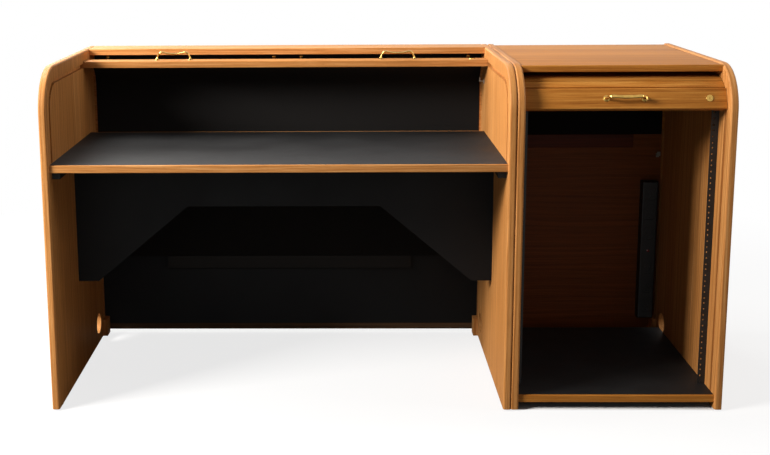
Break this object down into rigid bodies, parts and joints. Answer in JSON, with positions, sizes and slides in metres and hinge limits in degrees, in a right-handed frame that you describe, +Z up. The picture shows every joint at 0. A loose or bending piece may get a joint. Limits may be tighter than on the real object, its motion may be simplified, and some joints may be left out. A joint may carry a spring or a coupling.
{
  "type": "tambour desk",
  "caption": "Wooden tambour desk with a black worktop and knee space, joined to a rack bay with pierced rails; each bay closes with its own slatted roll-down curtain.",
  "frame": {"origin": "centre of the footprint, on the floor", "axes": "+X to the sitter's right, +Y from the front to the back, +Z up"},
  "size_m": [1.6828, 0.6096, 0.866],
  "materials": {
    "wood": "honey-coloured hardwood and veneer under satin lacquer",
    "backs": "veneered plywood, grain across",
    "black_board": "particle board under matt black laminate",
    "canvas": "black duck canvas",
    "brass": "polished and lacquered",
    "steel": "zinc plated",
    "black_steel": "black powder coat",
    "nylon": "moulded natural nylon",
    "black_plastic": "fine-grained black plastic",
    "lamp": "red lens"
  },
  "bodies": {
    "cabinet": {"desk_side_left": "wood", "desk_side_right": "wood", "rack_side_left": "wood", "rack_side_right": "wood", "desk_top_panel": "wood", "rack_top_panel": "wood", "worktop_lipping": "wood", "worktop_back_lipping": "wood", "rack_shelf_lipping": "wood", "desk_slats": "wood", "rack_slats": "wood", "rack_tail_bar": "wood", "groove_stop_blocks": "wood", "rack_back_panel": "backs", "worktop": "black_board", "rack_shelf": "black_board", "knee_apron": "black_board", "worktop_cleats": "black_board", "apron_cleats": "black_board", "rack_shelf_cleats": "black_board", "desk_back_panel": "black_board", "desk_canvas": "canvas", "rack_canvas": "canvas", "back_panel_screws": "brass", "module_bolts": "steel", "rack_rail_screws": "steel", "rack_rail_left": "black_steel", "rack_rail_right": "black_steel", "glides": "nylon", "cable_clips": "nylon", "rack_power_strip": "black_plastic", "strip_sockets": "black_plastic", "strip_pilot_lamp": "lamp"},
    "desk_rail": {"desk_lead_rail": "wood", "desk_pull_left": "brass", "desk_pull_right": "brass", "desk_pull_rosettes": "brass", "desk_pull_screws": "brass", "desk_lock_case": "steel", "desk_lock_escutcheon": "brass"},
    "desk_plug": {"desk_lock_plug": "steel"},
    "desk_bolt": {"desk_lock_bolt": "steel"},
    "desk_tail": {"desk_tail_bar": "wood"},
    "rack_pins": {"rack_guide_pins": "nylon"},
    "rack_rail": {"rack_lead_rail": "wood", "rack_pull": "brass", "rack_pull_rosettes": "brass", "rack_pull_screws": "brass", "rack_lock_case": "steel", "rack_lock_escutcheon": "brass"},
    "rack_plug": {"rack_lock_plug": "steel"},
    "rack_bolt": {"rack_lock_bolt": "steel"}
  },
  "joints": [
    {"name": "desk_rail_slide", "type": "slide", "parent": "cabinet", "child": "desk_rail", "axis": [0, -1, 0], "range_m": [0, 0.322], "deforming": ["desk_slats", "desk_canvas"]},
    {"name": "desk_tail_slide", "type": "slide", "parent": "cabinet", "child": "desk_tail", "axis": [0, 0, 1], "range_m": [0, 0.322]},
    {"name": "desk_key_turn", "type": "hinge", "parent": "desk_rail", "child": "desk_plug", "pos_m": [0.25348, 0.1542, 0.833], "axis": [0, 0, 1], "range_deg": [0, 90.2]},
    {"name": "desk_bolt_throw", "type": "slide", "parent": "desk_rail", "child": "desk_bolt", "axis": [1, 0, 0], "range_m": [0, 0.008]},
    {"name": "rack_pin_slide", "type": "slide", "parent": "cabinet", "child": "rack_pins", "axis": [0, 0, -1], "range_m": [0, 0.715], "deforming": ["rack_slats", "rack_canvas"]},
    {"name": "rack_rail_tilt", "type": "hinge", "parent": "rack_pins", "child": "rack_rail", "pos_m": [0.57785, -0.26534, 0.76404], "axis": [1, 0, 0], "range_deg": [0, 22]},
    {"name": "rack_key_turn", "type": "hinge", "parent": "rack_rail", "child": "rack_plug", "pos_m": [0.78053, -0.26416, 0.78405], "axis": [0, -0.9272, 0.3746], "range_deg": [0, 90.2]},
    {"name": "rack_bolt_throw", "type": "slide", "parent": "rack_rail", "child": "rack_bolt", "axis": [1, 0, 0], "range_m": [0, 0.008]}
  ],
  "couplings": [
    {"joint": "desk_tail_slide", "follows": "desk_rail_slide", "ratio": 1},
    {"joint": "desk_key_turn", "follows": "desk_bolt_throw", "rad_per_m": 196.35},
    {"joint": "rack_key_turn", "follows": "rack_bolt_throw", "rad_per_m": 196.35},
    {"joint": "rack_rail_tilt", "follows": "rack_pin_slide", "rad_per_m": 0.537}
  ]
}
